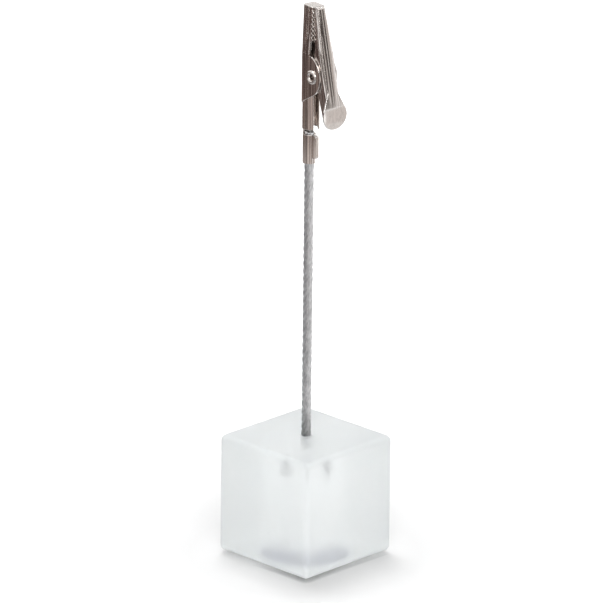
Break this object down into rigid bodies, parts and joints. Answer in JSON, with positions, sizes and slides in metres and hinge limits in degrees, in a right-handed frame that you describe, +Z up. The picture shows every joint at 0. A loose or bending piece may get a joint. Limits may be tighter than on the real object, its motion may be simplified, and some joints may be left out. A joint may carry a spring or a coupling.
{
  "type": "memo holder",
  "caption": "Frosted cube base with an upright wire rope stem that carries a sprung clip with toothed jaws, for standing a note, photo or card on a desk.",
  "frame": {"origin": "middle of the resting face under the foot pad, on the axis of the rope", "axes": "+Z up along the rope; the sides of the cube face X and Y, and the thumb lever of the clip points 8 degrees from +X towards -Y"},
  "size_m": [0.03, 0.03, 0.1409],
  "materials": {
    "frosted_block": "frosted translucent acrylic",
    "pad": "matt",
    "rope": "bright drawn wire",
    "fixed_jaw_plate": "nickel plated",
    "moving_jaw_plate": "nickel plated",
    "rivet": "nickel plated",
    "spring_wire": "drawn spring wire"
  },
  "bodies": {
    "stand": {"base_block": "frosted_block", "foot_pad": "pad", "rope_core": "rope", "rope_strand_1": "rope", "rope_strand_2": "rope", "rope_strand_3": "rope", "rope_strand_4": "rope", "rope_strand_5": "rope", "rope_strand_6": "rope", "fixed_jaw": "fixed_jaw_plate", "pivot_rivet": "rivet", "torsion_spring": "spring_wire"},
    "lever": {"moving_jaw": "moving_jaw_plate"}
  },
  "joints": [
    {"name": "jaw_hinge", "type": "hinge", "parent": "stand", "child": "lever", "pos_m": [0.00396, -0.00056, 0.1238], "axis": [0.1392, 0.9903, 0], "range_deg": [0, 28], "stiffness_Nm_per_rad": 0.05, "springref_deg": -4.01, "deforming": ["torsion_spring"]}
  ]
}
